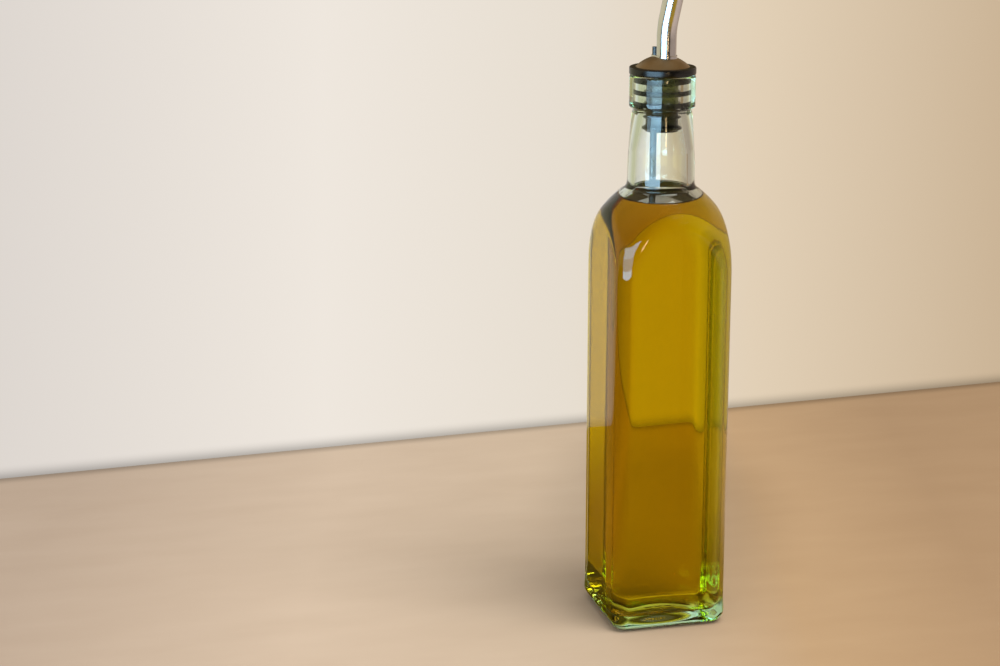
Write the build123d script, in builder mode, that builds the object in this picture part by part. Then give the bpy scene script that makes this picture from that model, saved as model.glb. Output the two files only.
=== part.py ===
from build123d import *
from math import cos, radians, sin, sqrt
import os

# A square glass bottle of olive oil, with a pouring stopper in its neck.
# Millimetres, +Z up. The origin is the centre of the base, on the surface the bottle stands on.
# The body's four flat faces look along X and Y.

# Body of the bottle
body_side = 57.0
body_corner = 6.7  # outside radius of the upright edges
body_wall = 2.6
inner_corner = 7.5  # inside radius of the upright edges
heel_tightening = 0.4  # how much smaller the heel's round is than the upright edges'
inner_heel_tightening = 1.5
base_thickness = 6.5
standing_ring = 3.2  # flat width between the heel and the hollow in the underside
underside_depth = 3.0  # of the hollow
inner_rise = 1.6  # of the inside's floor in its middle
inner_ring = 0.9  # flat width between the inside's heel and the rise

# Shoulder
shoulder_drop = 93.7  # from the lip to where the dome starts to lean in
dome_radius = 50.0
dome_margin = 0.4  # the dome starts this far outside the upright edges
shoulder_wall = 4.0
shoulder_fillet = 3.5  # between the dome and the neck
inner_shoulder_fillet = 5.0

# Neck and finish, which is the thick ring round the mouth
glass_height = 264.5
neck_low_radius = 15.9
neck_top_radius = 13.8
neck_bulge = 0.5
neck_wall = 3.2
neck_inner_taper = 0.6  # how much the inside narrows below the bore
neck_inner_drop = 35.5  # from the lip to where the inside starts to narrow to the bore
bore_radius = 8.7
bore_length = 17.5
bore_blend = 12.0
finish_ledge = 1.65  # how far the ring stands out from the neck
finish_height = 15.2
finish_fillet = 0.8  # under the ring, outside
finish_root_fillet = 0.6  # where the ring meets the neck
lip_fillet = 1.2
mouth_round = 0.6

# Oil
oil_drop = 59.2  # from the lip to the oil's level
oil_gap = 0.1  # between the oil and what it touches

# Stopper
flange_overhang = 0.15  # past the glass's ring
flange_thickness = 3.6
flange_fillet = 0.6
core_clearance = 1.2  # between the core and the bore
core_end = 0.4  # of core below the lowest fin
fin_count = 5
fin_pitch = 5.35
first_fin_drop = 2.9  # from the lip to the middle of the top fin
fin_root_thickness = 2.8
fin_rim_thickness = 2.2
free_fin_rim_thickness = 0.9  # of the fins that the bore doesn't squeeze
fin_squeeze = 0.5  # how much larger a free fin's radius is than the bore's
squeezed_fins = 3
fin_gap = 0.05
passage_ledge = 0.7  # that the spout ends on, where the oil's way through the core is narrower

# Steel cap and its collar
cap_margin = 3.0  # from the flange's edge to the cap's
cap_rise = 5.2
cap_sheet = 0.7
collar_wall = 0.45
collar_stand = 0.1  # above the top of the cap
collar_fillet = 0.2

# Spout and vent tube
pour_azimuth = -45.0  # the way the spout leans, in degrees from +X
spout_cover = 1.1  # rubber between the spout and the core's side
vent_cover = 2.0  # rubber between the vent tube and the core's side
tube_spacing = 0.3  # between the spout and the vent tube
spout_wall = 0.6
spout_seat_depth = 12.5  # below the lip
spout_rise = 17.0  # from the lip to the first bend
spout_bend_radius = 40.0
spout_lean = 12.5
spout_run = 14.0  # straight length between the two bends
spout_second_lean = 22.5
spout_tip_length = 17.0
spout_tip_taper = 1.0
mouth_slant = 30.0
vent_radius = 1.1
vent_wall = 0.4
dip_radius = 1.6  # of the vent tube below the stopper, where it is thicker
vent_rise = 12.4  # above the lip
vent_dip = 4.0  # below the oil's level
tube_gap = 0.05  # round a tube in its hole

# Worked out from the sizes above
lip = glass_height
heel_radius = body_corner - heel_tightening
inner_heel_radius = inner_corner - inner_heel_tightening
inner_side = body_side - 2 * body_wall
underside_radius = body_side / 2 - heel_radius - standing_ring
inner_rise_radius = inner_side / 2 - inner_heel_radius - inner_ring
shoulder_height = lip - shoulder_drop
neck_inner_height = lip - neck_inner_drop
bore_bottom = lip - bore_length
finish_bottom = lip - finish_height
finish_radius = neck_top_radius + finish_ledge
oil_level = lip - oil_drop
flange_radius = finish_radius + flange_overhang
flange_top = lip + flange_thickness
core_radius = bore_radius - core_clearance
core_length = first_fin_drop + (fin_count - 1) * fin_pitch + fin_root_thickness / 2 + core_end
core_bottom = lip - core_length
fin_free_radius = bore_radius + fin_squeeze
cap_radius = flange_radius - cap_margin
collar_height = cap_rise + collar_stand

# The two tubes, side by side across the core: the spout takes the width that the rest leaves
spout_radius = core_radius - vent_radius - tube_gap - (spout_cover + vent_cover + tube_spacing) / 2
spout_offset = core_radius - spout_cover - tube_gap - spout_radius
vent_offset = core_radius - vent_cover - tube_gap - vent_radius
passage_radius = spout_radius - passage_ledge
spout_x = spout_offset * cos(radians(pour_azimuth))
spout_y = spout_offset * sin(radians(pour_azimuth))
vent_x = -vent_offset * cos(radians(pour_azimuth))
vent_y = -vent_offset * sin(radians(pour_azimuth))
vent_bottom = oil_level - vent_dip
vent_top = lip + vent_rise


def sphere_radius(rim_radius, rise):
    """Radius of the sphere whose cap has this rim radius and rise."""
    return (rim_radius**2 + rise**2) / (2 * rise)


underside_sphere = sphere_radius(underside_radius, underside_depth)
inner_rise_sphere = sphere_radius(inner_rise_radius, inner_rise)
cap_sphere = sphere_radius(cap_radius, cap_rise)


def corner_reach(side, corner):
    """Distance from the axis to the outermost point of a rounded square."""
    return side / sqrt(2) - corner * (sqrt(2) - 1)


def circle_height(radius, across):
    """Height on a circle of this radius, at this distance from its upright axis."""
    return sqrt(radius**2 - across**2)


def neck_inside_radius(height):
    """Radius of the glass's inside at a height between the neck and the bore."""
    if height >= bore_bottom:
        return bore_radius
    widest = neck_low_radius - neck_wall - neck_inner_taper
    share = (bore_bottom - height) / (bore_bottom - neck_inner_height)
    return bore_radius + share * (widest - bore_radius)


def bottle_outline():
    """Half section of the dome, neck and finish, closed along the axis."""
    reach = corner_reach(body_side, body_corner) + dome_margin
    dome_centre = reach - dome_radius
    neck_foot = shoulder_height + circle_height(dome_radius, neck_low_radius - dome_centre)
    middle = ((neck_low_radius + neck_top_radius) / 2 + neck_bulge, (neck_foot + finish_bottom) / 2)
    with BuildSketch(Plane.XZ) as outline:
        with BuildLine():
            Polyline((0, lip), (0, 0), (reach, 0), (reach, shoulder_height))
            RadiusArc((reach, shoulder_height), (neck_low_radius, neck_foot), -dome_radius)
            ThreePointArc((neck_low_radius, neck_foot), middle, (neck_top_radius, finish_bottom))
            Polyline((neck_top_radius, finish_bottom), (finish_radius, finish_bottom),
                     (finish_radius, lip), (0, lip))
        make_face()
        fillet(outline.vertices().sort_by_distance((neck_low_radius, neck_foot))[0], shoulder_fillet)
        fillet(outline.vertices().sort_by_distance((neck_top_radius, finish_bottom))[0],
               finish_root_fillet)
        fillet(outline.vertices().sort_by_distance((finish_radius, finish_bottom))[0], finish_fillet)
        fillet(outline.vertices().sort_by_distance((finish_radius, lip))[0], lip_fillet)
    return outline.sketch


def interior_outline(gap):
    """Half section of the hollow's dome, neck and bore, kept inside the glass by a gap."""
    reach = corner_reach(inner_side, inner_corner) - gap
    inner_dome_radius = dome_radius - shoulder_wall - gap
    dome_centre = reach - inner_dome_radius
    low_radius = neck_low_radius - neck_wall - gap
    neck_foot = shoulder_height + circle_height(inner_dome_radius, low_radius - dome_centre)
    narrow_start = (low_radius - neck_inner_taper, neck_inner_height)
    narrow_end = (bore_radius - gap, bore_bottom)
    mouth_start = (bore_radius - gap, lip - mouth_round)
    mouth_end = (bore_radius - gap + mouth_round, lip)
    with BuildSketch(Plane.XZ) as outline:
        with BuildLine():
            Polyline((0, lip), (0, 0), (reach, 0), (reach, shoulder_height))
            RadiusArc((reach, shoulder_height), (low_radius, neck_foot), -inner_dome_radius)
            Polyline((low_radius, neck_foot), narrow_start, narrow_end, mouth_start)
            RadiusArc(mouth_start, mouth_end, mouth_round)
            Line(mouth_end, (0, lip))
        make_face()
        fillet(outline.vertices().sort_by_distance((low_radius, neck_foot))[0], inner_shoulder_fillet)
        fillet(outline.vertices().sort_by_distance(narrow_start)[0], bore_blend)
        fillet(outline.vertices().sort_by_distance(narrow_end)[0], bore_blend)
    return outline.sketch


def interior(gap):
    """The bottle's hollow, smaller than the glass's inside by a gap all over."""
    floor = base_thickness + gap
    with BuildPart() as hollow:
        with BuildSketch(Plane.XY.offset(floor)):
            RectangleRounded(inner_side - 2 * gap, inner_side - 2 * gap, inner_corner - gap)
        extrude(amount=lip - floor)
        fillet(hollow.faces().sort_by(Axis.Z)[0].edges(), inner_heel_radius - gap)
        add(interior_outline(gap))
        revolve(axis=Axis.Z, mode=Mode.INTERSECT)
        with Locations((0, 0, floor + inner_rise - inner_rise_sphere)):
            Sphere(inner_rise_sphere, mode=Mode.SUBTRACT)
    return hollow.part


def spout_path():
    """Centre line of the spout in its own upright plane, from its seat to where the tip starts."""
    with BuildLine(spout_plane) as path:
        seat = (0, lip - spout_seat_depth)
        bend_start = (0, lip + spout_rise)
        Line(seat, bend_start)
        first_bend = JernArc(bend_start, (0, 1), spout_bend_radius, -spout_lean)
        leaning = PolarLine(first_bend @ 1, spout_run, 90 - spout_lean)
        JernArc(leaning @ 1, leaning % 1, spout_bend_radius, -spout_second_lean)
    return path.line


def tube_along(path, radius, tip_taper):
    """A round bar along the path with a tapered tip, which the outside and the bore share."""
    with BuildPart() as bar:
        with BuildSketch(Plane(path @ 0, z_dir=path % 0)):
            Circle(radius)
        sweep(path=path)
        with BuildSketch(Plane(path @ 1, z_dir=path % 1)):
            Circle(radius)
        extrude(amount=spout_tip_length, taper=tip_taper)
    return bar.part


# The upright plane that the spout leans in
spout_plane = Plane(
    origin=(spout_x, spout_y, 0),
    x_dir=(cos(radians(pour_azimuth)), sin(radians(pour_azimuth)), 0),
    z_dir=(sin(radians(pour_azimuth)), -cos(radians(pour_azimuth)), 0),
)

os.makedirs("parts", exist_ok=True)

# Glass bottle
with BuildPart() as bottle:
    with BuildSketch():
        RectangleRounded(body_side, body_side, body_corner)
    extrude(amount=lip)
    fillet(bottle.faces().sort_by(Axis.Z)[0].edges(), heel_radius)
    add(bottle_outline())
    revolve(axis=Axis.Z, mode=Mode.INTERSECT)
    add(interior(0), mode=Mode.SUBTRACT)
    with Locations((0, 0, underside_depth - underside_sphere)):
        Sphere(underside_sphere, mode=Mode.SUBTRACT)
bottle.part.label = "bottle"
export_step(bottle.part, "parts/bottle.step")

# Olive oil, cut round the vent tube that dips into it
with BuildPart() as oil:
    add(interior(oil_gap))
    split(bisect_by=Plane.XY.offset(oil_level), keep=Keep.BOTTOM)
    with Locations((vent_x, vent_y, oil_level)):
        Cylinder(dip_radius + oil_gap, vent_dip + oil_gap, mode=Mode.SUBTRACT,
                 align=(Align.CENTER, Align.CENTER, Align.MAX))
oil.part.label = "oil"
export_step(oil.part, "parts/oil.step")

# Rubber stopper: a flange on the lip, and a core with fins in the bore
with BuildPart() as stopper:
    with Locations((0, 0, lip)):
        Cylinder(flange_radius, flange_thickness, align=(Align.CENTER, Align.CENTER, Align.MIN))
    fillet(stopper.edges().filter_by(GeomType.CIRCLE), flange_fillet)
    with Locations((0, 0, core_bottom)):
        Cylinder(core_radius, core_length, align=(Align.CENTER, Align.CENTER, Align.MIN))
    for number in range(fin_count):
        squeezed = number < squeezed_fins
        rim_half = (fin_rim_thickness if squeezed else free_fin_rim_thickness) / 2
        middle = lip - first_fin_drop - number * fin_pitch
        fin_radius = min(fin_free_radius, neck_inside_radius(middle + rim_half) - fin_gap)
        root_half = fin_root_thickness / 2
        with BuildSketch(Plane.XZ):
            with BuildLine():
                Polyline((0, middle - root_half), (core_radius, middle - root_half),
                         (fin_radius, middle - rim_half), (fin_radius, middle + rim_half),
                         (core_radius, middle + root_half), (0, middle + root_half), close=True)
            make_face()
        revolve(axis=Axis.Z)
    with Locations((spout_x, spout_y, flange_top)):
        Cylinder(spout_radius + tube_gap, flange_thickness + spout_seat_depth, mode=Mode.SUBTRACT,
                 align=(Align.CENTER, Align.CENTER, Align.MAX))
        Cylinder(passage_radius, flange_thickness + core_length, mode=Mode.SUBTRACT,
                 align=(Align.CENTER, Align.CENTER, Align.MAX))
    with Locations((vent_x, vent_y, flange_top)):
        Cylinder(vent_radius + tube_gap, flange_thickness + core_length, mode=Mode.SUBTRACT,
                 align=(Align.CENTER, Align.CENTER, Align.MAX))
stopper.part.label = "stopper"
export_step(stopper.part, "parts/stopper.step")

# Domed steel cap on the flange
with BuildPart() as cap:
    sphere_centre = flange_top + cap_rise - cap_sphere
    with Locations((0, 0, sphere_centre)):
        Sphere(cap_sphere)
        Sphere(cap_sphere - cap_sheet, mode=Mode.SUBTRACT)
    split(bisect_by=Plane.XY.offset(flange_top), keep=Keep.TOP)
    with Locations((spout_x, spout_y, flange_top)):
        Cylinder(spout_radius + tube_gap, 2 * cap_rise, mode=Mode.SUBTRACT)
    with Locations((vent_x, vent_y, flange_top)):
        Cylinder(vent_radius + tube_gap, 2 * cap_rise, mode=Mode.SUBTRACT)
cap.part.label = "cap"
export_step(cap.part, "parts/cap.step")

# Collar that holds both tubes where they come out of the cap
with BuildPart() as collar:
    with BuildSketch(Plane.XY.offset(flange_top)):
        with Locations((spout_x, spout_y)):
            Circle(spout_radius + collar_wall)
        with Locations((vent_x, vent_y)):
            Circle(vent_radius + collar_wall)
        make_hull()
    extrude(amount=collar_height)
    fillet(collar.faces().sort_by(Axis.Z)[-1].edges(), collar_fillet)
    with Locations((spout_x, spout_y, flange_top)):
        Cylinder(spout_radius + tube_gap, 2 * collar_height, mode=Mode.SUBTRACT)
    with Locations((vent_x, vent_y, flange_top)):
        Cylinder(vent_radius + tube_gap, 2 * collar_height, mode=Mode.SUBTRACT)
    with Locations((0, 0, sphere_centre)):
        Sphere(cap_sphere, mode=Mode.SUBTRACT)
collar.part.label = "collar"
export_step(collar.part, "parts/collar.step")

# Steel spout: seated in the stopper, bent twice towards the pouring side, tip cut slanted
centre_line = spout_path()
with BuildPart() as spout:
    add(tube_along(centre_line, spout_radius, spout_tip_taper))
    add(tube_along(centre_line, spout_radius - spout_wall, spout_tip_taper), mode=Mode.SUBTRACT)
    tip_middle = centre_line @ 1 + (centre_line % 1) * (spout_tip_length - spout_radius)
    slant = (centre_line % 1).rotate(Axis((0, 0, 0), spout_plane.z_dir), mouth_slant)
    split(bisect_by=Plane(tip_middle, z_dir=slant), keep=Keep.BOTTOM)
spout.part.label = "spout"
export_step(spout.part, "parts/spout.step")

# Vent tube, thick from the oil up to the stopper, and thin on through it to its end beside the spout
with BuildPart() as vent_tube:
    with Locations((vent_x, vent_y, vent_bottom)):
        Cylinder(dip_radius, core_bottom - vent_bottom, align=(Align.CENTER, Align.CENTER, Align.MIN))
        Cylinder(vent_radius, vent_top - vent_bottom, align=(Align.CENTER, Align.CENTER, Align.MIN))
        Cylinder(dip_radius - vent_wall, core_bottom - vent_wall - vent_bottom, mode=Mode.SUBTRACT,
                 align=(Align.CENTER, Align.CENTER, Align.MIN))
        Cylinder(vent_radius - vent_wall, vent_top - vent_bottom, mode=Mode.SUBTRACT,
                 align=(Align.CENTER, Align.CENTER, Align.MIN))
vent_tube.part.label = "vent_tube"
export_step(vent_tube.part, "parts/vent_tube.step")
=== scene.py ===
from math import atan2, cos, pi, radians, sin, sqrt

import bpy
import numpy as np
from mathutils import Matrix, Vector


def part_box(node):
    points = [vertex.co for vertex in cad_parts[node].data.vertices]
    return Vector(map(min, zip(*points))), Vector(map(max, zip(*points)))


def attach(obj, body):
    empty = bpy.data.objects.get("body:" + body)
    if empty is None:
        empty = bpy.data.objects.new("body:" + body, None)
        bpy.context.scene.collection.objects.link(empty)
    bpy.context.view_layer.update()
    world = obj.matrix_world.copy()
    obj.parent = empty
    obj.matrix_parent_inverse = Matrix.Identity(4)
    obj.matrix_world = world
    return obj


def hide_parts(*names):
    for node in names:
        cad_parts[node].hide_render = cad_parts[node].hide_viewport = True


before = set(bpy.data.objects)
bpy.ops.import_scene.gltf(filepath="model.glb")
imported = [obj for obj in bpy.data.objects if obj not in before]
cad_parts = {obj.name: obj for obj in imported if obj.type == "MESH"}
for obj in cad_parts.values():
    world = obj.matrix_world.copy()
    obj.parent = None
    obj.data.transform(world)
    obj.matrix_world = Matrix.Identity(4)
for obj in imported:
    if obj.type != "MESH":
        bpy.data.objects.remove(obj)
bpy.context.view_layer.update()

# A square glass bottle of olive oil with a rubber and steel pourer in its neck.
# Lengths are in metres, written as millimetres times MM.
MM = 0.001

# ---------------------------------------------------------------- sizes from the frame

bottle_low, bottle_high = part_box("bottle")
oil_low, oil_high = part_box("oil")
vent_low, vent_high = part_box("vent_tube")
stopper_low, stopper_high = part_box("stopper")

OIL_GAP = 0.1 * MM  # the CAD's oil stops this short of the glass
HALF_SIDE = (bottle_high[0] - bottle_low[0]) / 2
LIP = bottle_high[2]
INNER_HALF = (oil_high[0] - oil_low[0]) / 2 + OIL_GAP
FLOOR_HEIGHT = oil_low[2] - OIL_GAP  # of the bottle's inside
OIL_LEVEL = oil_high[2]
FLANGE_RADIUS = (stopper_high[0] - stopper_low[0]) / 2
FLANGE_TOP = stopper_high[2]
CORE_BOTTOM = stopper_low[2]
VENT_X = (vent_low[0] + vent_high[0]) / 2
VENT_Y = (vent_low[1] + vent_high[1]) / 2
VENT_RADIUS = (vent_high[0] - vent_low[0]) / 2

# ---------------------------------------------------------------- sizes of the glass

CORNER = 6.7 * MM
INNER_CORNER = 7.5 * MM
HEEL = 6.3 * MM
INNER_HEEL = 6.0 * MM
UNDERSIDE_RADIUS = 19.0 * MM
UNDERSIDE_DEPTH = 3.0 * MM
INNER_RISE_RADIUS = 19.0 * MM
INNER_RISE = 1.6 * MM
SHOULDER_HEIGHT = 170.8 * MM
DOME_RADIUS = 50.0 * MM
DOME_MARGIN = 0.4 * MM
SHOULDER_WALL = 4.0 * MM
NECK_LOW = 15.9 * MM
NECK_TOP = 13.8 * MM
NECK_BULGE = 0.5 * MM
NECK_WALL = 3.2 * MM
NECK_TAPER = 0.6 * MM
NECK_NARROWS = 229.0 * MM
BORE = 8.7 * MM
BORE_LENGTH = 17.5 * MM
FINISH = 15.45 * MM
FINISH_HEIGHT = 15.2 * MM
FINISH_FOOT_ROUND = 0.8 * MM
FINISH_LIP_ROUND = 1.2 * MM
LIP_FLAT = 2.0 * MM
MOUTH_ROUND = 0.6 * MM
MOUTH_DEPTH = 3.0 * MM  # from the lip to where the rings of the inside begin
FOOT_ROUND = 3.5 * MM  # where the dome meets the neck, outside and inside
INNER_FOOT_ROUND = 5.0 * MM
NECK_BEND_ROUND = 12.0 * MM

ARCH_ROUND = 3.5 * MM  # how far the edge between a flat face and the dome is rounded off
UNDERSIDE_ROUND = 0.6 * MM
RISE_ROUND = 0.8 * MM
STIPPLE_COUNT = 44
STIPPLE_HEIGHT = 0.22 * MM
STIPPLE_OFFSET = 1.6 * MM  # the dots' middles lie this far outside the hollow
STIPPLE_WIDTH = 1.0 * MM
STIPPLE_GAIN = 1.6  # how steep the dots are round the ring, and how far apart
STIPPLE_CUT = 0.2
DASH_COLUMNS = 3
DASH_ROWS = 2
DASH_SPACING_X = 5.0 * MM
DASH_SPACING_Y = 4.5 * MM
DASH_HALF_LENGTH = 1.4 * MM
DASH_HALF_WIDTH = 0.3 * MM
DASH_SLOPE = 0.5 * MM
DASH_HEIGHT = 0.35 * MM

# ---------------------------------------------------------------- sizes of the oil and the stopper

OIL_REACH = 0.12 * MM  # how far the oil goes into the glass
WALL_CURL = 0.6 * MM  # how high the oil's surface climbs at the glass, and how soon that fades
WALL_CURL_WIDTH = 0.5 * MM
VENT_CURL = 0.2 * MM  # the same at the vent tube
VENT_CURL_WIDTH = 0.3 * MM
RIM_MARGIN = 0.3 * MM  # the last ring on the wall lies at least this far below the surface's rim

CORE_RADIUS = 7.5 * MM
FIRST_FIN_DROP = 2.9 * MM  # from the lip to the first fin's middle
FIN_PITCH = 5.35 * MM
FIN_ROOT = 1.4 * MM  # half a fin's thickness at the core
FIN_BITE = 0.08 * MM  # how far a squeezed fin goes into the glass
SQUEEZED_FIN = (BORE + FIN_BITE, 1.15 * MM)  # a fin's radius and half its thickness at its rim
FIN_RIMS = [SQUEEZED_FIN, SQUEEZED_FIN, SQUEEZED_FIN, (8.83 * MM, 0.45 * MM), (9.2 * MM, 0.45 * MM)]
ROOT_ROUND = 0.5 * MM
RIM_ROUND = 0.25 * MM
FLANGE_ROUND = 0.7 * MM

# ---------------------------------------------------------------- places of the stage

VIEW_TURN = radians(14.31)  # the camera looks this far to the right of straight at the front face
TABLE_BACK = 0.304  # from the bottle's axis to the table's far edge
TABLE_TURN = radians(3.77)
TABLE_NEAR = -4.0  # well behind the camera
TABLE_HALF_WIDTH = 4.0
TABLE_DROP = 0.2 * MM  # just under the bottle, so that the two faces don't flicker
# painted shade on the wall along the table's far edge: how high it reaches, and how much light it lets
# through at the bottom
SHADE_STRIP_HEIGHT = 9.0 * MM
SHADE_STRIP_LEVEL = 0.45
# painted reflection: a dimly glowing card behind the bottle that only mirrors and glass see
CARD_HALF_WIDTH = 0.12
CARD_BACK = 0.35
CARD_LOW = 0.262
CARD_HIGH = 0.55
CARD_GLOW_COLOUR = (0.1, 0.075, 0.035)

# Each side and back is a distance right of and behind the bottle, as the camera sees it.
CAMERA_SIDE = -0.0754
CAMERA_BACK = -1.0267
CAMERA_HEIGHT = 0.4114
CAMERA_TILT = radians(14.79)
CAMERA_LENS = 80  # these two in real millimetres
CAMERA_SENSOR = 36

WINDOW_SIDE = -0.51
WINDOW_BACK = -0.8
WINDOW_WIDTH = 0.94
WINDOW_COLOUR = (0.6, 1.0, 1.35)
WINDOW_PANES = [("window_low", 0.0, 0.085, 7.0),  # name, lower edge, upper edge and glow
                ("window", 0.085, 0.27, 3.0),
                ("window_top", 0.27, 0.6, 5.0)]

LAMP_SIDE = 0.2
LAMP_BACK = -0.92
LAMP_HEIGHT = 0.24
LAMP_SIZE = (0.06, 0.12)
LAMP_POWER = 0.3
LAMP_COLOUR = (1.0, 0.7, 0.35)

CEILING_SIDE = 0.5
CEILING_BACK = -0.5
CEILING_HEIGHT = 1.5
CEILING_SIZE = (1.0, 1.0)
CEILING_POWER = 20.0
CEILING_COLOUR = (1.0, 0.97, 0.93)

# ---------------------------------------------------------------- how fine the meshes are

FLAT_COLUMNS = 30  # columns across a flat face, and round an upright edge
EDGE_COLUMNS = 18
SOLE_RINGS = 56  # rings over the outside, from the underside up
HEEL_RINGS = 14
WALL_RINGS = 30  # outside and inside
DOME_RINGS = 44
NECK_RINGS = 12
INNER_SOLE_RINGS = 20
INNER_HEEL_RINGS = 12
INNER_DOME_RINGS = 40
TURNS = 96  # columns round the stopper


# ---------------------------------------------------------------- shape helpers

def column_angles():
    """Directions of the mesh columns round the bottle, closer together at the upright edges."""
    edge_start = atan2(HALF_SIDE - CORNER, HALF_SIDE)
    flat = np.linspace(-edge_start, edge_start, FLAT_COLUMNS, endpoint=False)
    edge = np.linspace(edge_start, pi / 2 - edge_start, EDGE_COLUMNS, endpoint=False)
    quarter = np.concatenate([flat, edge])
    return np.concatenate([quarter + k * pi / 2 for k in range(4)])


def square_radius(angles, half, corner):
    """Distance from the axis to a rounded square, in each direction."""
    across = np.abs(np.cos(angles))
    along = np.abs(np.sin(angles))
    centre = half - corner
    flat = half / np.maximum(across, along)
    reach = (across + along) * centre
    rounded = reach + np.sqrt(np.maximum(reach**2 - 2 * centre**2 + corner**2, 0))
    on_corner = np.minimum(flat * across, flat * along) > centre
    return np.where(on_corner, rounded, flat)


def smooth_min(a, b, width):
    """The smaller of a and b, rounded off where they cross."""
    near = np.maximum(width - np.abs(a - b), 0) / width
    return np.minimum(a, b) - near**2 * width / 4


def arc(centre, radius, start, end, count):
    """Points of an arc in the (radius, height) plane, angles in degrees, without its first point."""
    turn = np.radians(np.linspace(start, end, count + 1)[1:])
    return np.stack([centre[0] + radius * np.cos(turn), centre[1] + radius * np.sin(turn)], 1)


def shares(count):
    """Even steps from 0 to 1, without the 0."""
    return np.linspace(0, 1, count + 1)[1:]


def heel_turns(count):
    """Even steps round a heel from its lowest point to its wall, as angles, without the first."""
    return np.radians(np.linspace(90, 0, count + 1)[1:])


def settle(share):
    """Near 1 over most of a floor, and 0 at its edge, where it meets the heel."""
    return 1 - share**12


def line(start, end, count):
    """Points of a straight run in the (radius, height) plane, without its first point."""
    share = shares(count)[:, None]
    return np.array(start) * (1 - share) + np.array(end) * share


def rounded(points, radii, steps):
    """A path through points in the (radius, height) plane with its corners rounded."""
    path = [np.array(points[0])]
    for before, corner, after, radius in zip(points, points[1:], points[2:], radii):
        before, corner, after = (np.array(p, dtype=float) for p in (before, corner, after))
        back = (before - corner) / np.linalg.norm(before - corner)
        ahead = (after - corner) / np.linalg.norm(after - corner)
        half_angle = np.arccos(np.clip(back @ ahead, -1, 1)) / 2
        if radius <= 0:
            path.append(corner)
            continue
        reach = radius / np.tan(half_angle)
        middle = corner + (back + ahead) / np.linalg.norm(back + ahead) * radius / np.sin(half_angle)
        first = corner + back * reach - middle
        last = corner + ahead * reach - middle
        for share in np.linspace(0, 1, steps):
            spoke = first * (1 - share) + last * share
            path.append(middle + spoke / np.linalg.norm(spoke) * radius)
    path.append(np.array(points[-1]))
    return np.array(path)


def even(path, spacing):
    """The path with extra points, so that none are further apart than spacing."""
    out = [path[0]]
    for start, end in zip(path[:-1], path[1:]):
        count = max(1, int(np.ceil(np.linalg.norm(end - start) / spacing)))
        out.extend(line(start, end, count))
    return np.array(out)


def mesh_object(name, vertices, faces, material, smooth=True):
    """A mesh object with a material, linked into the scene."""
    mesh = bpy.data.meshes.new(name)
    mesh.from_pydata([tuple(v) for v in vertices], [], faces)
    mesh.polygons.foreach_set("use_smooth", [smooth] * len(mesh.polygons))
    mesh.materials.append(material)
    mesh.update()
    thing = bpy.data.objects.new(name, mesh)
    bpy.context.scene.collection.objects.link(thing)
    return thing


def mark_wet(thing, wet):
    """Says of each point whether glass and oil touch there."""
    attribute = thing.data.attributes.new("wet", "FLOAT", "POINT")
    attribute.data.foreach_set("value", np.asarray(wet, dtype=np.float32))


def ring_mesh(name, rings, material, start_pole, end_pole):
    """A closed skin over rings of points that all have the same number, with a pole at each end."""
    rings = np.asarray(rings)
    rows, columns = rings.shape[:2]
    vertices = [*rings.reshape(-1, 3), start_pole, end_pole]
    following = [(c + 1) % columns for c in range(columns)]
    faces = []
    for row in range(rows - 1):
        low, high = row * columns, (row + 1) * columns
        faces.extend((low + c, low + following[c], high + following[c], high + c)
                     for c in range(columns))
    start, end = rows * columns, rows * columns + 1
    last = start - columns
    faces.extend((start, following[c], c) for c in range(columns))
    faces.extend((end, last + c, last + following[c]) for c in range(columns))
    return mesh_object(name, vertices, faces, material)


# ---------------------------------------------------------------- materials

def new_material(name):
    """A node material that is empty but for its output, with its node tree and that output."""
    material = bpy.data.materials.new(name)
    material.use_nodes = True
    tree = material.node_tree
    tree.nodes.clear()
    output = tree.nodes.new("ShaderNodeOutputMaterial")
    return material, tree, output


def feed(tree, value, socket):
    """Puts a number or a colour into a socket, or links another node's output to it."""
    if isinstance(value, bpy.types.NodeSocket):
        tree.links.new(value, socket)
    elif isinstance(value, tuple):
        socket.default_value = (*value, 1)
    else:
        socket.default_value = value


def place(tree, kind="Object"):
    """Where the shaded point is in the frame's metres, or for "Generated" in a world, which way."""
    return tree.nodes.new("ShaderNodeTexCoord").outputs[kind]


def turned(tree, vector, angle):
    """A vector turned by an angle about the vertical."""
    node = tree.nodes.new("ShaderNodeMapping")
    node.vector_type = "POINT"
    node.inputs["Rotation"].default_value = (0, 0, angle)
    tree.links.new(vector, node.inputs["Vector"])
    return node.outputs["Vector"]


def axes(tree, vector):
    """A vector's outputs X, Y and Z."""
    node = tree.nodes.new("ShaderNodeSeparateXYZ")
    tree.links.new(vector, node.inputs["Vector"])
    return node.outputs


def length_of(tree, vector):
    """How long a vector is."""
    node = tree.nodes.new("ShaderNodeVectorMath")
    node.operation = "LENGTH"
    tree.links.new(vector, node.inputs["Vector"])
    return node.outputs["Value"]


def length_along(tree, vector, direction):
    """A vector's product with a direction: how far it goes that way."""
    node = tree.nodes.new("ShaderNodeVectorMath")
    node.operation = "DOT_PRODUCT"
    tree.links.new(vector, node.inputs[0])
    node.inputs[1].default_value = direction
    return node.outputs["Value"]


def calculate(tree, operation, first, second, clamp=False):
    """One sum on two numbers."""
    node = tree.nodes.new("ShaderNodeMath")
    node.operation = operation
    node.use_clamp = clamp
    feed(tree, first, node.inputs[0])
    feed(tree, second, node.inputs[1])
    return node.outputs["Value"]


def rescale(tree, value, source, target=(0.0, 1.0), ease="LINEAR"):
    """A number carried from one range to another, and held inside it."""
    node = tree.nodes.new("ShaderNodeMapRange")
    node.interpolation_type = ease
    for name, number in zip(("From Min", "From Max", "To Min", "To Max"), (*source, *target)):
        node.inputs[name].default_value = number
    tree.links.new(value, node.inputs["Value"])
    return node.outputs["Result"]


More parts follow.
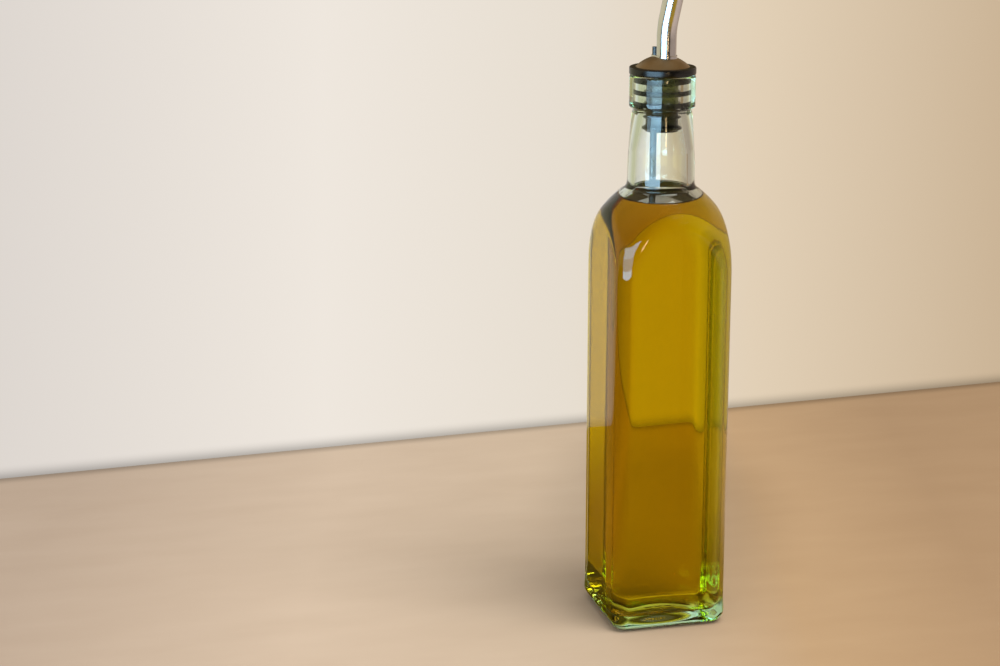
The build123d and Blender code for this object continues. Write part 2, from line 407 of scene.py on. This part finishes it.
def mix(tree, a, b, factor=1.0, blend="MIX"):
    """Two colours mixed or blended; a, b and factor are values or other nodes' outputs."""
    node = tree.nodes.new("ShaderNodeMix")
    node.data_type = "RGBA"
    node.blend_type = blend
    feed(tree, factor, node.inputs["Factor"])
    feed(tree, a, node.inputs["A"])
    feed(tree, b, node.inputs["B"])
    return node.outputs["Result"]


def noise(tree, scale, detail=4.0, stretch=(1, 1, 1)):
    """A noise texture in the frame's own metres, stretched along some axes."""
    mapping = tree.nodes.new("ShaderNodeMapping")
    mapping.inputs["Scale"].default_value = stretch
    texture = tree.nodes.new("ShaderNodeTexNoise")
    texture.inputs["Scale"].default_value = scale
    texture.inputs["Detail"].default_value = detail
    tree.links.new(place(tree), mapping.inputs["Vector"])
    tree.links.new(mapping.outputs["Vector"], texture.inputs["Vector"])
    return texture.outputs["Fac"]


NOISE_LOW = 0.3  # nearly all of a noise texture lies between these
NOISE_HIGH = 0.7


def spread(tree, value, low, high):
    """A noise value, spread from low to high."""
    return rescale(tree, value, (NOISE_LOW, NOISE_HIGH), (low, high))


def stops(tree, value, colours):
    """A colour by value, from a list of positions and colours."""
    node = tree.nodes.new("ShaderNodeValToRGB")
    elements = node.color_ramp.elements
    while len(elements) < len(colours):
        elements.new(0.5)
    for element, (position, colour) in zip(elements, colours):
        element.position = position
        element.color = (*colour, 1)
    tree.links.new(value, node.inputs["Fac"])
    return node.outputs["Color"]


def ramp(tree, value, low_colour, high_colour):
    """A colour between two, by a noise value."""
    return stops(tree, value, [(NOISE_LOW, low_colour), (NOISE_HIGH, high_colour)])


def light_path(tree):
    """What kind of ray sees the point."""
    return tree.nodes.new("ShaderNodeLightPath").outputs


def mirror_rays(tree):
    """1 for a ray that a surface has mirrored, 0 for one seen directly or through glass."""
    rays = light_path(tree)
    return calculate(tree, "SUBTRACT", rays["Is Glossy Ray"], rays["Is Transmission Ray"], clamp=True)


def bump(tree, height, distance):
    """A bump normal from a height field whose full height is distance."""
    node = tree.nodes.new("ShaderNodeBump")
    node.inputs["Distance"].default_value = distance
    tree.links.new(height, node.inputs["Height"])
    return node.outputs["Normal"]


def clear_material(name, ior, colour, depth_colour, density, roughness, waviness):
    """Glass or liquid: clear, tinted by how far light travels inside it.

    Where the wet attribute is 1, glass and oil touch, and nothing is mirrored head on."""
    material, tree, output = new_material(name)
    shader = tree.nodes.new("ShaderNodeBsdfPrincipled")
    shader.inputs["Transmission Weight"].default_value = 1.0
    shader.inputs["IOR"].default_value = ior
    wet = tree.nodes.new("ShaderNodeAttribute")
    wet.attribute_name = "wet"
    mirroring = mix(tree, (1, 1, 1), (0, 0, 0), wet.outputs["Fac"])
    tree.links.new(mirroring, shader.inputs["Specular Tint"])
    tint = ramp(tree, noise(tree, scale=35), colour, (1, 1, 1))
    tree.links.new(tint, shader.inputs["Base Color"])
    smears = spread(tree, noise(tree, scale=60, detail=6), 0.0, roughness)
    tree.links.new(smears, shader.inputs["Roughness"])
    tree.links.new(bump(tree, noise(tree, scale=28, detail=1), waviness), shader.inputs["Normal"])
    volume = tree.nodes.new("ShaderNodeVolumeAbsorption")
    volume.inputs["Color"].default_value = (*depth_colour, 1)
    volume.inputs["Density"].default_value = density
    tree.links.new(shader.outputs["BSDF"], output.inputs["Surface"])
    tree.links.new(volume.outputs["Volume"], output.inputs["Volume"])
    return material


def steel_material(name, dark, light, roughness, scratch):
    """Stainless steel with faint stains and fine scratches."""
    material, tree, output = new_material(name)
    shader = tree.nodes.new("ShaderNodeBsdfPrincipled")
    shader.inputs["Metallic"].default_value = 1.0
    tree.links.new(ramp(tree, noise(tree, scale=90), dark, light), shader.inputs["Base Color"])
    stains = spread(tree, noise(tree, scale=140, detail=6), *roughness)
    tree.links.new(stains, shader.inputs["Roughness"])
    grain = noise(tree, scale=900, detail=3, stretch=(1, 1, 0.08))
    tree.links.new(bump(tree, grain, scratch), shader.inputs["Normal"])
    tree.links.new(shader.outputs["BSDF"], output.inputs["Surface"])
    return material


def rubber_material(name, gloss):
    """Black rubber, which mirrors more the higher its gloss."""
    material, tree, output = new_material(name)
    shader = tree.nodes.new("ShaderNodeBsdfPrincipled")
    colour = ramp(tree, noise(tree, scale=200), (0.0012, 0.001, 0.001), (0.004, 0.0035, 0.003))
    tree.links.new(colour, shader.inputs["Base Color"])
    wear = spread(tree, noise(tree, scale=300, detail=5), 0.16, 0.32)
    tree.links.new(wear, shader.inputs["Roughness"])
    shader.inputs["Specular IOR Level"].default_value = gloss
    pores = noise(tree, scale=1500, detail=3)
    tree.links.new(bump(tree, pores, 0.012 * MM), shader.inputs["Normal"])
    tree.links.new(shader.outputs["BSDF"], output.inputs["Surface"])
    return material


TABLE_SPAN = (-0.32, 0.17)  # of the colours below, left to right of the bottle; they paint light and shade across the table
# painted light and shade: the table is painted brighter left of the bottle, and darker and warmer right of
# it
TABLE_LIGHT_COLOURS = [(0.0, (0.5, 0.395, 0.31)), (0.3, (0.63, 0.505, 0.39)), (0.6, (0.58, 0.46, 0.34)),
                 (0.8, (0.51, 0.345, 0.2)), (1.0, (0.40, 0.265, 0.155))]
TABLE_FRONT = (-0.08, -0.22)  # painted light: the front, which glass shows paler, starts and is complete this far before the bottle's axis
TABLE_FRONT_LIGHT = (0.95, 0.9, 0.25)
EDGE_SHADE = 0.66  # painted shade where the table meets the wall: how dark the table is at its far edge, and how wide that dark stretch is
EDGE_SHADE_WIDTH = 0.012
SHADOW_MIDDLE = (0.015, 0.15, 0)  # of the bottle's own soft shadow, painted on the table right of and behind its axis
SHADOW_REACH = (0.085, 0.2, 1)
SHADOW_FADE = (0.4, 1.0)  # as shares of its reach
SHADOW_SHADE = 0.8
# painted reflection: the colours in which mirrors see the table
MIRRORED_NEAR = (0.3, 0.2, 0.01)
MIRRORED_FAR = (0.05, 0.04, 0.03)
MIRRORED_RIGHT = (0.42, 0.35, 0.31)
FAR_SPAN = (0.75, 1.1)  # from near the bottle to far off
RIGHT_DIRECTION = (1, 0.7, 0)
RIGHT_SPAN = (0.05, 0.2)


def table_grain_and_light(tree, seen):
    """Pale beige with a faint grain, and painted light and shade that leave it darker and warmer to the
    right; its front is painted paler seen through glass, as painted light.
    """
    across = axes(tree, seen)
    lit_tones = stops(tree, rescale(tree, across["X"], TABLE_SPAN), TABLE_LIGHT_COLOURS)
    front = rescale(tree, across["Y"], TABLE_FRONT)
    through_glass = calculate(tree, "MULTIPLY", front, light_path(tree)["Is Transmission Ray"])
    # painted light: seen through glass, the table's front is painted paler and yellower
    pale = mix(tree, lit_tones, TABLE_FRONT_LIGHT, through_glass)
    grain = ramp(tree, noise(tree, scale=14, detail=6, stretch=(1, 3, 1)), (0.95, 0.94, 0.93), (1, 1, 1))
    return mix(tree, pale, grain, blend="MULTIPLY")


def painted_edge_shade(tree, here):
    """1, but darker along the table's far edge: painted shade where it meets the wall."""
    back = axes(tree, turned(tree, here, -TABLE_TURN))["Y"]
    edge = (TABLE_BACK - EDGE_SHADE_WIDTH, TABLE_BACK)
    return rescale(tree, back, edge, (1.0, EDGE_SHADE), "SMOOTHSTEP")


def painted_bottle_shadow(tree, seen):
    """1, but darker in a soft shadow of the bottle painted on the table."""
    around = tree.nodes.new("ShaderNodeMapping")
    around.vector_type = "TEXTURE"
    around.inputs["Location"].default_value = SHADOW_MIDDLE
    around.inputs["Scale"].default_value = SHADOW_REACH
    tree.links.new(seen, around.inputs["Vector"])
    away = length_of(tree, around.outputs["Vector"])
    return rescale(tree, away, SHADOW_FADE, (SHADOW_SHADE, 1.0), "SMOOTHSTEP")


def painted_table_reflection(tree, here, seen):
    """Painted reflection: what mirrors see of the table, warm near the bottle, dark far off, and greyer to
    the right.
    """
    to_right = rescale(tree, length_along(tree, seen, RIGHT_DIRECTION), RIGHT_SPAN)
    far_off = rescale(tree, length_of(tree, here), FAR_SPAN, ease="SMOOTHSTEP")
    away = mix(tree, MIRRORED_FAR, MIRRORED_RIGHT, to_right)
    return mix(tree, MIRRORED_NEAR, away, calculate(tree, "MAXIMUM", far_off, to_right))


def floor_material():
    """A table top with painted light and shade, which mirrors see in painted colours of its own, as in a
    dark room.
    """
    material, tree, output = new_material("table_top")
    shader = tree.nodes.new("ShaderNodeBsdfPrincipled")
    here = place(tree)
    seen = turned(tree, here, VIEW_TURN)
    plain = mix(tree, table_grain_and_light(tree, seen), painted_edge_shade(tree, here), blend="MULTIPLY")
    plain = mix(tree, plain, painted_bottle_shadow(tree, seen), blend="MULTIPLY")
    colour = mix(tree, plain, painted_table_reflection(tree, here, seen), mirror_rays(tree))
    tree.links.new(colour, shader.inputs["Base Color"])
    shader.inputs["Roughness"].default_value = 0.55
    shader.inputs["Specular IOR Level"].default_value = 0.0
    tree.links.new(bump(tree, noise(tree, scale=700), 0.05 * MM), shader.inputs["Normal"])
    tree.links.new(shader.outputs["BSDF"], output.inputs["Surface"])
    return material


GLASS = clear_material("clear_glass", ior=1.52, colour=(0.985, 1.0, 0.99), depth_colour=(0.12, 0.89, 0.42),
                       density=11.0, roughness=0.012, waviness=0.05 * MM)
OIL = clear_material("olive_oil", ior=1.47, colour=(0.98, 0.98, 0.98), depth_colour=(0.926, 0.853, 0.06),
                     density=130.0, roughness=0.004, waviness=0.0)
POLISHED = steel_material("bright_steel", dark=(0.8, 0.78, 0.78), light=(0.92, 0.9, 0.9),
                          roughness=(0.12, 0.22), scratch=0.012 * MM)
SATIN = steel_material("satin_steel", dark=(0.4, 0.28, 0.15), light=(0.56, 0.42, 0.25),
                       roughness=(0.35, 0.5), scratch=0.02 * MM)
RUBBER = rubber_material("black_rubber", gloss=0.6)
TUBE_RUBBER = rubber_material("glossy_rubber", gloss=1.0)

# ---------------------------------------------------------------- glass and oil

ANGLES = column_angles()
COLUMN_X = np.cos(ANGLES)
COLUMN_Y = np.sin(ANGLES)


def ring(radius, height):
    """One ring of points round the axis; radius and height are numbers or one value a column."""
    radius = np.broadcast_to(radius, ANGLES.shape)
    height = np.broadcast_to(height, ANGLES.shape)
    return np.stack([radius * COLUMN_X, radius * COLUMN_Y, height], 1)


def neck_foot(reach, dome_radius, neck_radius):
    """Height at which a dome of this reach comes in to the neck's radius."""
    return SHOULDER_HEIGHT + sqrt(dome_radius**2 - (neck_radius - reach + dome_radius) ** 2)


def dome_path(reach, dome_radius, neck_radius, count):
    """The dome's outline from its foot to the neck's radius."""
    end = np.degrees(np.arccos((neck_radius - reach + dome_radius) / dome_radius))
    return arc((reach - dome_radius, SHOULDER_HEIGHT), dome_radius, 0, end, count)


def underside_height(x, y):
    """Height of the glass's underside: a hollow with small dashes, and a ring of dots round it."""
    r = np.hypot(x, y)
    sphere = (UNDERSIDE_RADIUS**2 + UNDERSIDE_DEPTH**2) / (2 * UNDERSIDE_DEPTH)
    hollow = UNDERSIDE_DEPTH - sphere + np.sqrt(np.maximum(sphere**2 - r**2, 0))
    height = -smooth_min(-hollow, np.full_like(r, -STIPPLE_HEIGHT), UNDERSIDE_ROUND)
    dots = np.clip(np.cos(np.arctan2(y, x) * STIPPLE_COUNT) * STIPPLE_GAIN - STIPPLE_CUT, 0, 1)
    band = np.clip(1 - np.abs(r - UNDERSIDE_RADIUS - STIPPLE_OFFSET) / STIPPLE_WIDTH, 0, 1)
    height = height - STIPPLE_HEIGHT * dots * np.sqrt(band)
    for index in range(DASH_COLUMNS * DASH_ROWS):
        column, row = index % DASH_COLUMNS, index // DASH_COLUMNS
        from_x = np.abs(x - (column - (DASH_COLUMNS - 1) / 2) * DASH_SPACING_X)
        from_y = np.abs(y - (row - (DASH_ROWS - 1) / 2) * DASH_SPACING_Y)
        inside_x = np.clip(1 - (from_x - DASH_HALF_LENGTH) / DASH_SLOPE, 0, 1)
        inside_y = np.clip(1 - (from_y - DASH_HALF_WIDTH) / DASH_SLOPE, 0, 1)
        height = height - DASH_HEIGHT * inside_x * inside_y
    return np.maximum(height, 0)


def outer_rings():
    """Rings over the outside of the glass, from the middle of the underside to the lip."""
    reach = HALF_SIDE * sqrt(2) - CORNER * (sqrt(2) - 1) + DOME_MARGIN
    rings = []
    sole = square_radius(ANGLES, HALF_SIDE - HEEL, CORNER - HEEL)
    for share in shares(SOLE_RINGS):
        radius = sole * share
        height = underside_height(radius * COLUMN_X, radius * COLUMN_Y)
        rings.append(ring(radius, height * settle(share)))
    for turn in heel_turns(HEEL_RINGS):
        inset = HEEL * (1 - cos(turn))
        radius = square_radius(ANGLES, HALF_SIDE - inset, CORNER - inset)
        rings.append(ring(radius, HEEL * (1 - sin(turn))))
    side = square_radius(ANGLES, HALF_SIDE, CORNER)
    foot = neck_foot(reach, DOME_RADIUS, NECK_LOW)
    finish_bottom = LIP - FINISH_HEIGHT
    neck = []
    for share in shares(NECK_RINGS):
        radius = NECK_LOW + share * (NECK_TOP - NECK_LOW) + 4 * share * (1 - share) * NECK_BULGE
        neck.append((radius, foot + share * (finish_bottom - foot)))
    body = line((reach, HEEL), (reach, SHOULDER_HEIGHT), WALL_RINGS)
    dome = dome_path(reach, DOME_RADIUS, NECK_LOW, DOME_RINGS)
    upper = rounded([dome[-2], dome[-1], neck[0]], [FOOT_ROUND], steps=8)
    finish = rounded([neck[-1], (FINISH, finish_bottom), (FINISH, LIP), (BORE + LIP_FLAT, LIP)],
                     [FINISH_FOOT_ROUND, FINISH_LIP_ROUND], steps=6)
    finish = even(finish, spacing=2.5 * MM)
    lower_dome = dome[dome[:, 1] < upper[1, 1]]
    for radius, height in np.concatenate([body, lower_dome, upper[1:-1], neck[:-1], finish]):
        rings.append(ring(smooth_min(np.full_like(side, radius), side, ARCH_ROUND), height))
    return rings


def hollow_path(gap, bore_top):
    """Outline of the bottle's inside from above its floor to its mouth."""
    reach = INNER_HALF * sqrt(2) - INNER_CORNER * (sqrt(2) - 1) - gap
    dome_radius = DOME_RADIUS - SHOULDER_WALL - gap
    low = NECK_LOW - NECK_WALL - gap
    foot = neck_foot(reach, dome_radius, low)
    body = line((reach, FLOOR_HEIGHT + INNER_HEEL), (reach, SHOULDER_HEIGHT), WALL_RINGS)
    dome = dome_path(reach, dome_radius, low, INNER_DOME_RINGS)
    neck = rounded([dome[-2], (low, foot), (low - NECK_TAPER, NECK_NARROWS),
                    (BORE - gap, LIP - BORE_LENGTH), (BORE - gap, bore_top)],
                   [INNER_FOOT_ROUND, NECK_BEND_ROUND, NECK_BEND_ROUND], steps=8)
    neck = even(neck[1:], spacing=2.0 * MM)
    return np.concatenate([body, dome[dome[:, 1] < neck[0, 1]], neck])


def hollow_rings(gap, path):
    """Rings over the bottle's inside along a path, smaller than the glass by a gap."""
    side = square_radius(ANGLES, INNER_HALF - gap, INNER_CORNER - gap)
    return [ring(smooth_min(np.full_like(side, radius), side, ARCH_ROUND), height)
            for radius, height in path]


def floor_rings(gap):
    """Rings over the bottle's floor, from its middle to the start of its walls."""
    rise_sphere = (INNER_RISE_RADIUS**2 + INNER_RISE**2) / (2 * INNER_RISE)
    heel = INNER_HEEL - gap
    sole = square_radius(ANGLES, INNER_HALF - gap - heel, INNER_CORNER - gap - heel)
    rings = []
    for share in shares(INNER_SOLE_RINGS):
        radius = sole * share
        rise = INNER_RISE - rise_sphere + np.sqrt(np.maximum(rise_sphere**2 - radius**2, 0))
        lift = -smooth_min(-rise, np.zeros_like(rise), RISE_ROUND)
        rings.append(ring(radius, FLOOR_HEIGHT + gap + lift * settle(share)))
    for turn in heel_turns(INNER_HEEL_RINGS):
        inset = heel * (1 - cos(turn))
        radius = square_radius(ANGLES, INNER_HALF - gap - inset, INNER_CORNER - gap - inset)
        rings.append(ring(radius, FLOOR_HEIGHT + gap + heel * (1 - sin(turn))))
    return rings


def make_bottle():
    """The glass: its outside, over the lip, and down its inside to the floor, as one closed skin."""
    mouth = rounded([(BORE + LIP_FLAT, LIP), (BORE, LIP), (BORE, LIP - MOUTH_DEPTH)],
                    [MOUTH_ROUND], steps=5)
    outside = outer_rings() + [ring(r, z) for r, z in mouth[1:]]
    inside = hollow_rings(0, hollow_path(0, LIP - MOUTH_DEPTH)[:-1])
    rings = outside + inside[::-1] + floor_rings(0)[::-1]
    underside_pole = (0, 0, UNDERSIDE_DEPTH)
    floor_pole = (0, 0, FLOOR_HEIGHT + INNER_RISE)
    glass = ring_mesh("bottle_glass", rings, GLASS, underside_pole, floor_pole)
    heights = np.array([point.co.z for point in glass.data.vertices])
    inner = np.arange(len(heights)) >= len(outside) * len(ANGLES)
    inner[len(rings) * len(ANGLES)] = False  # the pole of the underside
    mark_wet(glass, inner & (heights < OIL_LEVEL))
    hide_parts("bottle")
    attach(glass, "root")


def make_oil():
    """The oil reaches just into the glass, and curls up at the glass and at the vent tube."""
    gap = -OIL_REACH
    path = hollow_path(gap, LIP)
    top = OIL_LEVEL + WALL_CURL
    below = path[path[:, 1] < top - RIM_MARGIN]
    above = path[path[:, 1] >= top - RIM_MARGIN][0]
    share = (top - below[-1, 1]) / (above[1] - below[-1, 1])
    rim = below[-1] + share * (above - below[-1])
    rings = floor_rings(gap) + hollow_rings(gap, below) + hollow_rings(gap, [rim])
    wall = np.hypot(rings[-1][:, 0], rings[-1][:, 1])
    near_wall = np.linspace(OIL_REACH, 5 * MM, 24)
    further_in = np.linspace(6, 16, 12) * MM
    for away in np.concatenate([near_wall, further_in]):
        radius = wall - away
        x, y = radius * COLUMN_X, radius * COLUMN_Y
        from_vent = np.maximum(np.hypot(x - VENT_X, y - VENT_Y) - VENT_RADIUS, 0)
        at_wall = WALL_CURL * np.exp(-away / WALL_CURL_WIDTH)
        at_vent = VENT_CURL * np.exp(-from_vent / VENT_CURL_WIDTH)
        rings.append(ring(radius, OIL_LEVEL + at_wall + at_vent))
    middle = FLOOR_HEIGHT + gap + INNER_RISE
    oil = ring_mesh("oil_fill", rings, OIL, (0, 0, middle), (0, 0, OIL_LEVEL))
    sides = (len(floor_rings(gap)) + len(below)) * len(ANGLES)
    points = np.arange(len(oil.data.vertices))
    bottom_pole = len(rings) * len(ANGLES)
    mark_wet(oil, (points < sides) | (points == bottom_pole))
    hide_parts("oil")
    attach(oil, "root")


# ---------------------------------------------------------------- pourer

CIRCLE = np.linspace(0, 2 * pi, TURNS, endpoint=False)


def lathe(name, path, material):
    """A closed solid of revolution from an outline that starts and ends on the bottle's axis."""
    rings = []
    for radius, height in path[1:-1]:
        x, y = radius * np.cos(CIRCLE), radius * np.sin(CIRCLE)
        rings.append(np.stack([x, y, np.full(TURNS, height)], 1))
    return ring_mesh(name, rings, material, (0, 0, path[0][1]), (0, 0, path[-1][1]))


def keep_material(node, material):
    """A CAD node keeps its shape and takes a finer material."""
    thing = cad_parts[node]
    thing.data.materials.clear()
    thing.data.materials.append(material)


def make_stopper():
    """Rubber flange, core and fins; the top fins are squeezed flat against the bore."""
    points = [(0, CORE_BOTTOM), (CORE_RADIUS, CORE_BOTTOM)]
    radii = [ROOT_ROUND]
    for number in reversed(range(len(FIN_RIMS))):
        middle = LIP - FIRST_FIN_DROP - number * FIN_PITCH
        radius, rim = FIN_RIMS[number]
        points += [(CORE_RADIUS, middle - FIN_ROOT), (radius, middle - rim),
                   (radius, middle + rim), (CORE_RADIUS, middle + FIN_ROOT)]
        radii += [ROOT_ROUND, RIM_ROUND, RIM_ROUND, ROOT_ROUND]
    points += [(CORE_RADIUS, LIP), (FLANGE_RADIUS, LIP), (FLANGE_RADIUS, FLANGE_TOP),
               (0, FLANGE_TOP)]
    radii += [0.0, FLANGE_ROUND, FLANGE_ROUND]
    stopper = lathe("stopper_rubber", rounded(points, radii, steps=5), RUBBER)
    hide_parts("stopper")
    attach(stopper, "root")


make_bottle()
make_oil()
make_stopper()
keep_material("cap", SATIN)
keep_material("collar", POLISHED)
keep_material("spout", POLISHED)
keep_material("vent_tube", TUBE_RUBBER)

# ---------------------------------------------------------------- floor, light and camera


def about_axis(x, y, angle):
    """A place in plan, turned about the bottle's axis."""
    return x * cos(angle) - y * sin(angle), x * sin(angle) + y * cos(angle)


def make_floor():
    """The table top, whose far edge meets the pale background."""
    edges = [(-TABLE_HALF_WIDTH, TABLE_NEAR), (TABLE_HALF_WIDTH, TABLE_NEAR),
             (TABLE_HALF_WIDTH, TABLE_BACK), (-TABLE_HALF_WIDTH, TABLE_BACK)]
    vertices = [(*about_axis(x, y, TABLE_TURN), -TABLE_DROP) for x, y in edges]
    floor = mesh_object("table_floor", vertices, [(0, 1, 2, 3)], floor_material(), smooth=False)


def upright_strip(name, half_width, back, low, high, turn, material):
    """An upright strip of the stage, this far behind the bottle's axis."""
    corners = [(-half_width, low), (half_width, low), (half_width, high), (-half_width, high)]
    vertices = [(*about_axis(x, back, turn), z) for x, z in corners]
    strip = mesh_object(name, vertices, [(0, 1, 2, 3)], material, smooth=False)
    return strip


def wall_shade_material():
    """A clear strip of painted shade that darkens the wall just above the table's far edge."""
    material, tree, output = new_material("painted_wall_shade")
    height = axes(tree, place(tree))["Z"]
    span = (-0.5 * SHADE_STRIP_HEIGHT, SHADE_STRIP_HEIGHT)
    fade = rescale(tree, height, span, (SHADE_STRIP_LEVEL, 1.0), "SMOOTHERSTEP")
    clear = tree.nodes.new("ShaderNodeBsdfTransparent")
    tree.links.new(fade, clear.inputs["Color"])
    tree.links.new(clear.outputs["BSDF"], output.inputs["Surface"])
    return material


def reflection_card_material():
    """A card with a dim warm glow, which the oil's surface mirrors: a painted reflection."""
    material, tree, output = new_material("painted_reflection_card")
    glow = tree.nodes.new("ShaderNodeEmission")
    glow.inputs["Color"].default_value = (*CARD_GLOW_COLOUR, 1)
    tree.links.new(glow.outputs["Emission"], output.inputs["Surface"])
    return material


def make_backdrop():
    """A soft line of painted shade where table and wall meet, and a dimly glowing card that the camera
    doesn't see, a painted reflection.
    """
    upright_strip("painted_wall_shade", TABLE_HALF_WIDTH, TABLE_BACK, -TABLE_DROP, SHADE_STRIP_HEIGHT, TABLE_TURN,
                  wall_shade_material())
    card = upright_strip("painted_reflection_card", CARD_HALF_WIDTH, CARD_BACK, CARD_LOW, CARD_HIGH, -VIEW_TURN,
                         reflection_card_material())
    card.visible_camera = False
    card.visible_diffuse = False
    card.visible_shadow = False


WALL_SPAN = (-0.6, 0.6)  # of the colours below, as the sideways part of a direction
WALL_COLOURS = [(0.0, (0.55, 0.52, 0.35)), (0.317, (0.73, 0.68, 0.635)), (0.434, (0.86, 0.80, 0.73)),
                (0.526, (0.80, 0.73, 0.635)), (0.595, (0.76, 0.63, 0.47)), (0.683, (0.60, 0.46, 0.31)),
                (0.76, (0.55, 0.44, 0.32)), (1.0, (0.42, 0.33, 0.26))]
ROOM_COLOUR = (0.012, 0.01, 0.006)  # of the dark room behind the camera
ROOM_SPAN = (-0.75, -0.2)  # from the room to the wall, as the backward part of a direction
OVERHEAD_COLOUR = (0.3, 0.22, 0.12)
OVERHEAD_SPAN = (0.36, 0.6)  # from the wall to the dark above it, as the upward part of a direction
OVERHEAD_SHADE = 0.06
FILL_COLOUR = (0.62, 0.60, 0.57)  # what lights matt surfaces


def make_world():
    """A pale wall, warmer to the right; glass and metal see a dark room in front of it as well."""
    world = bpy.data.worlds.new("room")
    bpy.context.scene.world = world
    world.use_nodes = True
    tree = world.node_tree
    tree.nodes.clear()
    output = tree.nodes.new("ShaderNodeOutputWorld")
    seen = axes(tree, turned(tree, place(tree, "Generated"), VIEW_TURN))
    wall = stops(tree, rescale(tree, seen["X"], WALL_SPAN), WALL_COLOURS)
    above = rescale(tree, seen["Z"], OVERHEAD_SPAN, (1.0, OVERHEAD_SHADE), "SMOOTHSTEP")
    dim = mix(tree, wall, above, blend="MULTIPLY")
    overhead = mix(tree, dim, OVERHEAD_COLOUR, mirror_rays(tree), "LIGHTEN")
    room = mix(tree, ROOM_COLOUR, overhead, rescale(tree, seen["Y"], ROOM_SPAN))
    rays = light_path(tree)
    plain = mix(tree, FILL_COLOUR, wall, rays["Is Camera Ray"])
    glass_or_metal = calculate(tree, "MAXIMUM", rays["Is Glossy Ray"], rays["Is Transmission Ray"])
    background = tree.nodes.new("ShaderNodeBackground")
    tree.links.new(mix(tree, plain, room, glass_or_metal), background.inputs["Color"])
    tree.links.new(background.outputs["Background"], output.inputs["Surface"])


def seen_from_camera(side, back):
    """Where something stands that the camera sees this far right of and behind the bottle."""
    return about_axis(side, back, -VIEW_TURN)


def area_light(name, position, target, size, power, colour):
    """A soft rectangular lamp, this wide and high, that looks at a target."""
    lamp = bpy.data.lights.new(name, "AREA")
    lamp.shape = "RECTANGLE"
    lamp.size, lamp.size_y = size
    lamp.energy = power
    lamp.color = colour
    thing = bpy.data.objects.new(name, lamp)
    bpy.context.scene.collection.objects.link(thing)
    thing.location = position
    aim = Vector(target) - Vector(position)
    thing.rotation_euler = aim.to_track_quat("-Z", "Y").to_euler()
    thing.visible_camera = False
    return thing


def make_window():
    """A bluish window left of the camera: three panes that only mirrors and glass see."""
    for name, low, high, glow in WINDOW_PANES:
        middle = (low + high) / 2
        power = glow * pi * WINDOW_WIDTH * (high - low)
        spot = (*seen_from_camera(WINDOW_SIDE, WINDOW_BACK), middle)
        size = (WINDOW_WIDTH, high - low)
        pane = area_light(name, spot, (0, 0, middle), size, power, WINDOW_COLOUR)
        pane.visible_diffuse = False


def make_lamps():
    """A small warm lamp that gives glints, and a large soft one above that gives none."""
    spot = (*seen_from_camera(LAMP_SIDE, LAMP_BACK), LAMP_HEIGHT)
    lamp = area_light("lamp", spot, (0, 0, LAMP_HEIGHT), LAMP_SIZE, LAMP_POWER, LAMP_COLOUR)
    lamp.visible_diffuse = False
    spot = (*seen_from_camera(CEILING_SIDE, CEILING_BACK), CEILING_HEIGHT)
    ceiling = area_light("ceiling", spot, (0, 0, 0), CEILING_SIZE, CEILING_POWER, CEILING_COLOUR)
    ceiling.visible_glossy = False


def make_camera():
    """The camera stands left of the bottle's axis, above it, and looks a little down."""
    camera = bpy.data.cameras.new("camera")
    camera.lens = CAMERA_LENS
    camera.sensor_width = CAMERA_SENSOR
    thing = bpy.data.objects.new("camera", camera)
    bpy.context.scene.collection.objects.link(thing)
    thing.location = (*seen_from_camera(CAMERA_SIDE, CAMERA_BACK), CAMERA_HEIGHT)
    thing.rotation_euler = (pi / 2 - CAMERA_TILT, 0, -VIEW_TURN)
    bpy.context.scene.camera = thing


make_floor()
make_backdrop()
make_world()
make_camera()
make_window()
make_lamps()

scene = bpy.context.scene
scene.view_settings.view_transform = "Standard"
scene.cycles.max_bounces = 24
scene.cycles.transmission_bounces = 24
scene.cycles.glossy_bounces = 12
